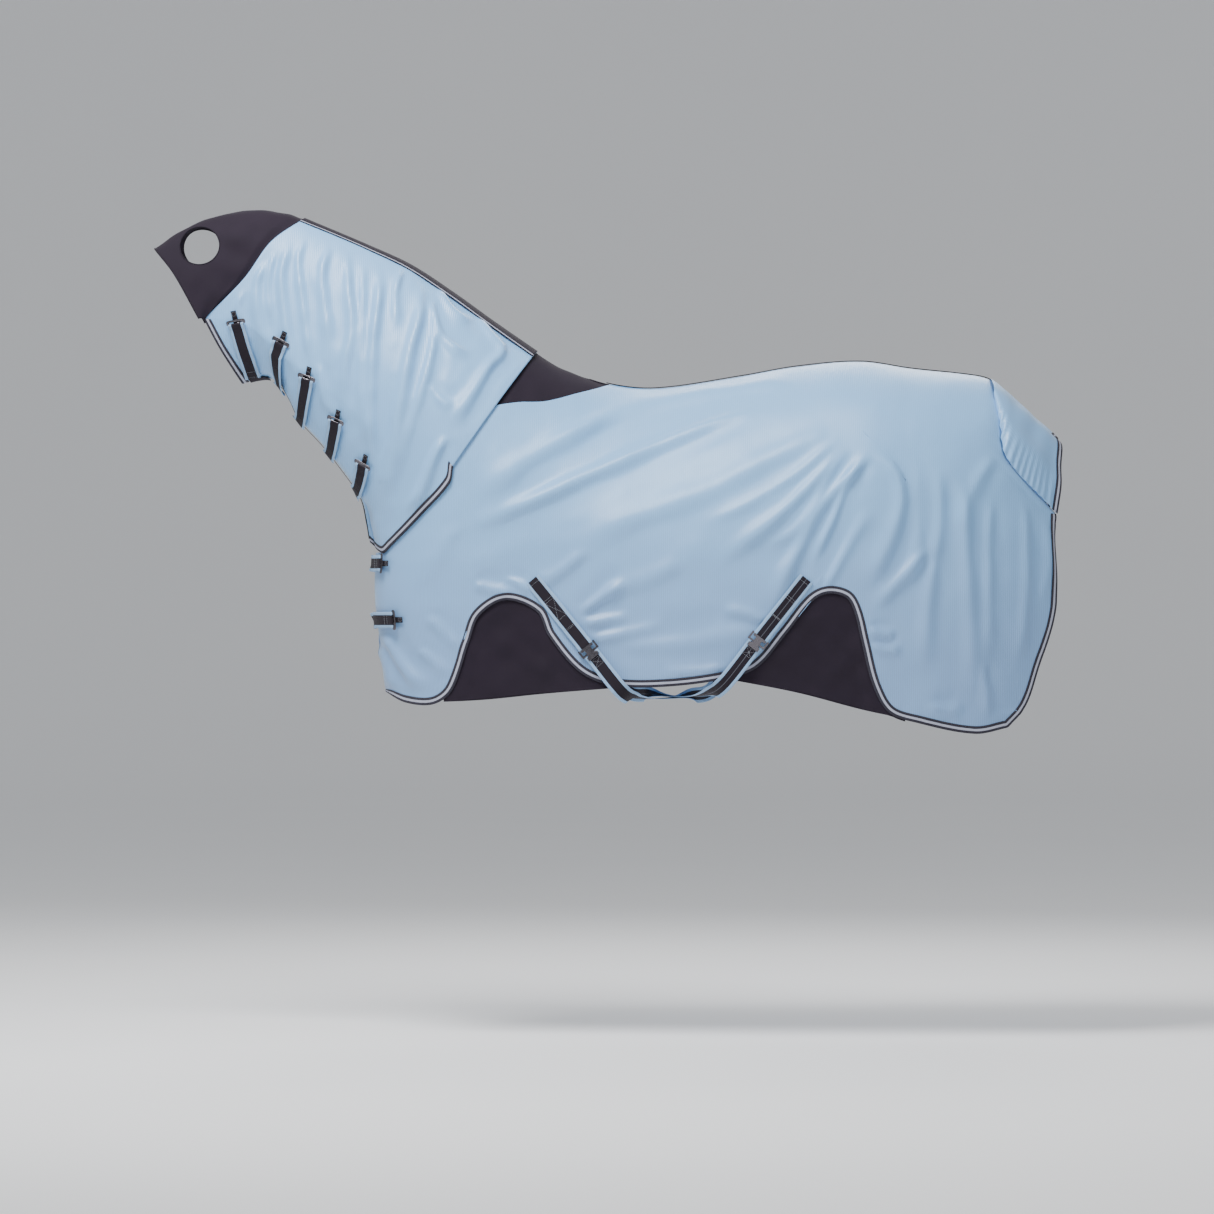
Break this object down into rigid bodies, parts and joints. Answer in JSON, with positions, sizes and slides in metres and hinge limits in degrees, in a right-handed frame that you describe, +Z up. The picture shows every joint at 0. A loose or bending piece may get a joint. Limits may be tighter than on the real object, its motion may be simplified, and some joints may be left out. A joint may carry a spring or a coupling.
{
  "type": "horse fly sheet",
  "caption": "Mesh fly sheet for a horse in its worn shape, with neck cover, poll hood, dark stretch gussets, striped binding, neck tabs, chest straps, crossed belly straps and tail flap.",
  "frame": {"origin": "on the spine line at the withers, where the sheet rests on the horse", "axes": "+X along the back towards the tail, +Y to the wearer's right, +Z up; all fastenings close on the left, -Y"},
  "size_m": [2.2424, 0.659, 1.2918],
  "materials": {
    "mesh_cloth": "fine light blue ribbed mesh with a satin sheen",
    "stretch_cloth": "matt near-black stretch knit",
    "binding_tape": "dark woven tape with a silver stripe",
    "webbing": "black webbing with light blue edges",
    "nickel": "nickel-plated steel"
  },
  "bodies": {
    "sheet": {"bib_binding_left": "binding_tape", "bib_binding_right": "binding_tape", "body_panel_left": "mesh_cloth", "body_panel_right": "mesh_cloth", "chest_catch_lower": "webbing", "chest_catch_upper": "webbing", "crest_binding": "binding_tape", "edge_binding_left": "binding_tape", "edge_binding_right": "binding_tape", "flank_gusset_left": "stretch_cloth", "flank_gusset_right": "stretch_cloth", "front_plate": "nickel", "neck_panel_left": "mesh_cloth", "neck_panel_right": "mesh_cloth", "neck_tab_catch_1": "webbing", "neck_tab_catch_2": "webbing", "neck_tab_catch_3": "webbing", "neck_tab_catch_4": "webbing", "neck_tab_catch_5": "webbing", "poll_hood": "stretch_cloth", "rear_plate": "nickel", "shoulder_gusset_left": "stretch_cloth", "shoulder_gusset_right": "stretch_cloth", "spine_tape": "binding_tape", "surcingle_front_left": "webbing", "surcingle_front_right": "webbing", "surcingle_rear_left": "webbing", "surcingle_rear_right": "webbing", "throat_band": "stretch_cloth", "throat_binding_left": "binding_tape", "throat_binding_right": "binding_tape", "under_neck_binding": "binding_tape", "wither_panel": "stretch_cloth"},
    "neck_fastening_1": {"neck_tab_1": "webbing", "neck_tab_loop_1": "nickel"},
    "neck_fastening_2": {"neck_tab_2": "webbing", "neck_tab_loop_2": "nickel"},
    "neck_fastening_3": {"neck_tab_3": "webbing", "neck_tab_loop_3": "nickel"},
    "neck_fastening_4": {"neck_tab_4": "webbing", "neck_tab_loop_4": "nickel"},
    "neck_fastening_5": {"neck_tab_5": "webbing", "neck_tab_loop_5": "nickel"},
    "chest_fastening_upper": {"chest_strap_upper": "webbing", "chest_loop_upper": "nickel"},
    "chest_fastening_lower": {"chest_strap_lower": "webbing", "chest_loop_lower": "nickel"},
    "belly_fastening_front": {"belly_strap_front": "webbing"},
    "belly_fastening_rear": {"belly_strap_rear": "webbing"},
    "front_hook_pivot": {"front_hook": "nickel"},
    "rear_hook_pivot": {"rear_hook": "nickel"},
    "front_adjuster": {"front_slider": "nickel"},
    "rear_adjuster": {"rear_slider": "nickel"},
    "tail_cover": {"tail_flap": "mesh_cloth", "tail_flap_binding": "binding_tape"}
  },
  "joints": [
    {"name": "neck_tab_1_peel", "type": "hinge", "parent": "sheet", "child": "neck_fastening_1", "pos_m": [-0.76887, -0.034, -0.02616], "axis": [0.9824, -0.0644, 0.1755], "range_deg": [0, 110]},
    {"name": "neck_tab_2_peel", "type": "hinge", "parent": "sheet", "child": "neck_fastening_2", "pos_m": [-0.70711, 0.01133, -0.04767], "axis": [0.656, 0.3078, -0.6891], "range_deg": [0, 110]},
    {"name": "neck_tab_3_peel", "type": "hinge", "parent": "sheet", "child": "neck_fastening_3", "pos_m": [-0.66136, 0.01072, -0.13158], "axis": [0.5828, 0.2289, -0.7797], "range_deg": [0, 110]},
    {"name": "neck_tab_4_peel", "type": "hinge", "parent": "sheet", "child": "neck_fastening_4", "pos_m": [-0.58448, 0.00886, -0.21883], "axis": [0.6118, -0.1496, -0.7767], "range_deg": [0, 110]},
    {"name": "neck_tab_5_peel", "type": "hinge", "parent": "sheet", "child": "neck_fastening_5", "pos_m": [-0.5149, 0.00759, -0.31481], "axis": [0.2595, -0.66, -0.705], "range_deg": [0, 110]},
    {"name": "chest_upper_open", "type": "hinge", "parent": "sheet", "child": "chest_fastening_upper", "pos_m": [-0.41517, 0.15567, -0.48365], "axis": [0, 0, -1], "range_deg": [0, 90]},
    {"name": "chest_lower_open", "type": "hinge", "parent": "sheet", "child": "chest_fastening_lower", "pos_m": [-0.40956, 0.15603, -0.62276], "axis": [0, 0, -1], "range_deg": [0, 90]},
    {"name": "belly_front_drop", "type": "hinge", "parent": "sheet", "child": "belly_fastening_front", "pos_m": [0.41719, 0.31921, -0.74279], "axis": [1, 0, 0], "range_deg": [0, 45]},
    {"name": "belly_rear_drop", "type": "hinge", "parent": "sheet", "child": "belly_fastening_rear", "pos_m": [0.11102, 0.29046, -0.74278], "axis": [1, 0, 0], "range_deg": [0, 45]},
    {"name": "front_hook_flip", "type": "hinge", "parent": "belly_fastening_front", "child": "front_hook_pivot", "pos_m": [0.0747, -0.28968, -0.71225], "axis": [0.7617, -0.1236, 0.636], "range_deg": [0, 75]},
    {"name": "rear_hook_flip", "type": "hinge", "parent": "belly_fastening_rear", "child": "rear_hook_pivot", "pos_m": [0.45797, -0.326, -0.6897], "axis": [0.7841, -0.0055, -0.6206], "range_deg": [0, 75]},
    {"name": "front_slider_travel", "type": "slide", "parent": "sheet", "child": "front_adjuster", "axis": [-0.6126, -0.1138, 0.7821], "range_m": [0, 0.09]},
    {"name": "rear_slider_travel", "type": "slide", "parent": "sheet", "child": "rear_adjuster", "axis": [0.6178, 0, 0.7864], "range_m": [0, 0.09]},
    {"name": "tail_flap_lift", "type": "hinge", "parent": "sheet", "child": "tail_cover", "pos_m": [1.054, 0, -0.029], "axis": [0, -1, 0], "range_deg": [0, 65]}
  ],
  "couplings": [
    {"joint": "belly_rear_drop", "follows": "belly_front_drop", "ratio": 1}
  ]
}
